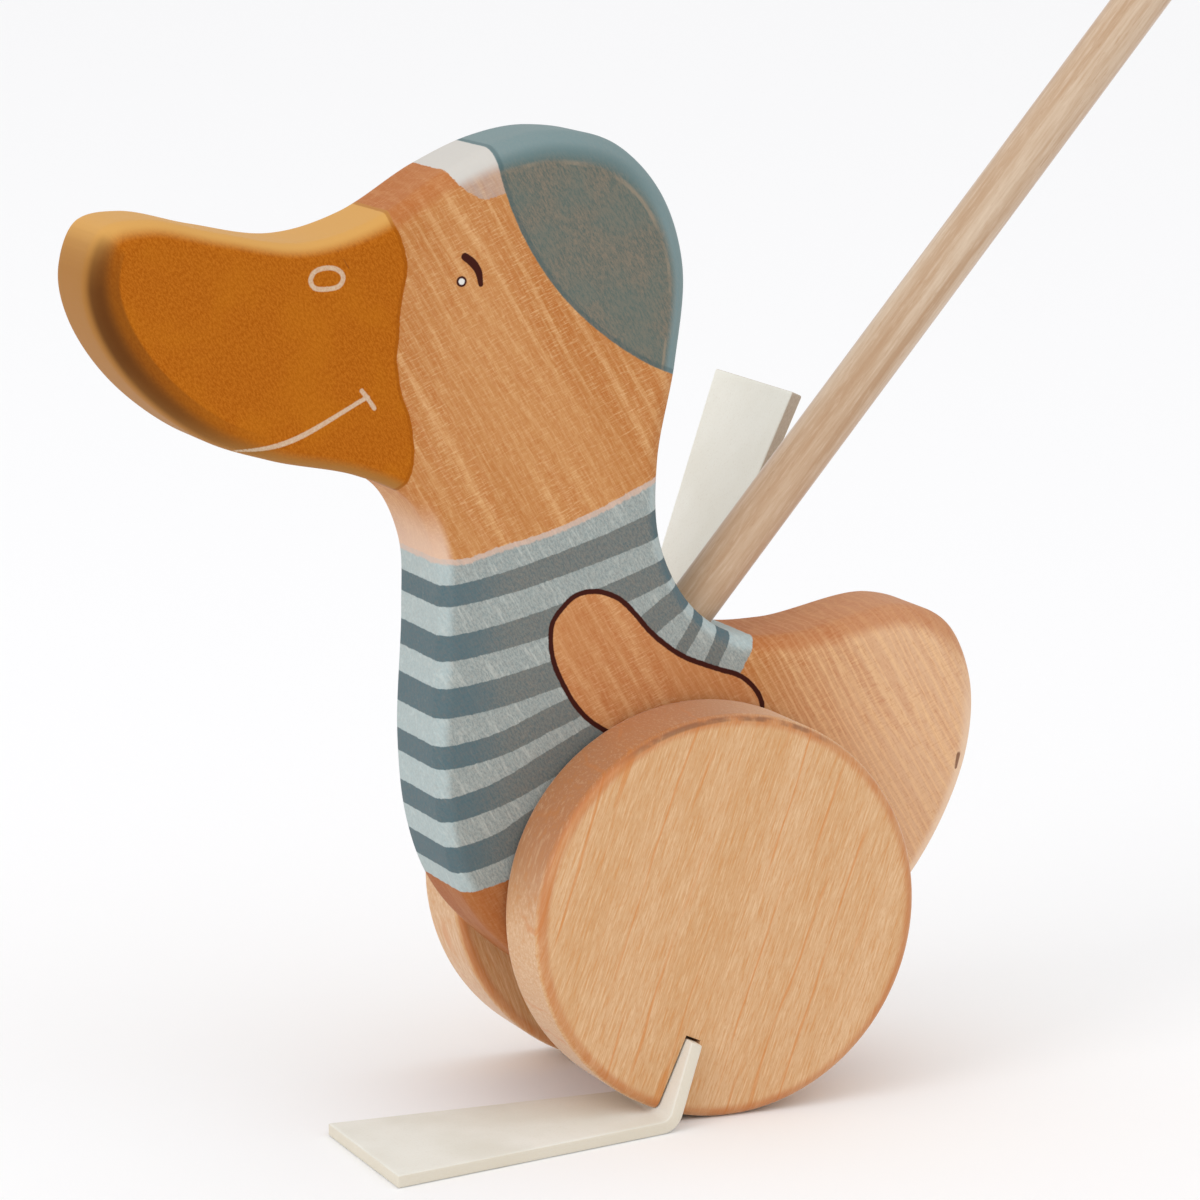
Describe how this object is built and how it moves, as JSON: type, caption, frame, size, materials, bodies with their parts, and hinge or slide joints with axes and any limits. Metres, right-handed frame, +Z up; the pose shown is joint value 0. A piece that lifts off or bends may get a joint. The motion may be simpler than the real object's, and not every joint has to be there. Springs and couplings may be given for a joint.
{
  "type": "push-along duck toy",
  "caption": "Wooden duck on a pair of wheels joined by an axle, with leather feet that slap the floor, pushed by a long stick with a ball end.",
  "frame": {"origin": "on the floor, straight under the axle, in the middle of the duck's board", "axes": "+Z up; -X the way the duck faces and rolls; -Y its left side; the axle lies along Y"},
  "size_m": [0.4727, 0.1041, 0.5053],
  "materials": {
    "duck_wood": "oiled wood with painted bill, cap and striped jersey",
    "wheel_wood": "oiled pale wood",
    "dowel_wood": "bare sanded dowel",
    "leather": "undyed cream leather"
  },
  "bodies": {
    "duck": {"duck_body": "duck_wood"},
    "wheelset": {"axle": "dowel_wood", "wheel_left": "wheel_wood", "wheel_right": "wheel_wood"},
    "left_strap": {"foot_left": "leather"},
    "right_strap": {"foot_right": "leather"},
    "stick": {"push_stick": "dowel_wood", "stick_knob": "wheel_wood"}
  },
  "joints": [
    {"name": "wheel_roll", "type": "hinge", "parent": "duck", "child": "wheelset", "pos_m": [0, 0, 0.04], "axis": [0, 1, 0], "continuous": true},
    {"name": "left_foot_flex", "type": "hinge", "parent": "wheelset", "child": "left_strap", "pos_m": [-0.01469, 0, 0.00186], "axis": [0, -1, 0], "range_deg": [0, 132], "stiffness_Nm_per_rad": 0.03, "deforming": ["foot_left"]},
    {"name": "right_foot_flex", "type": "hinge", "parent": "wheelset", "child": "right_strap", "pos_m": [0.01249, 0, 0.07908], "axis": [0, -1, 0], "range_deg": [-66, 66], "stiffness_Nm_per_rad": 0.03, "deforming": ["foot_right"]},
    {"name": "stick_pull", "type": "slide", "parent": "duck", "child": "stick", "axis": [0.6428, 0, 0.766], "range_m": [0, 0.03]}
  ]
}
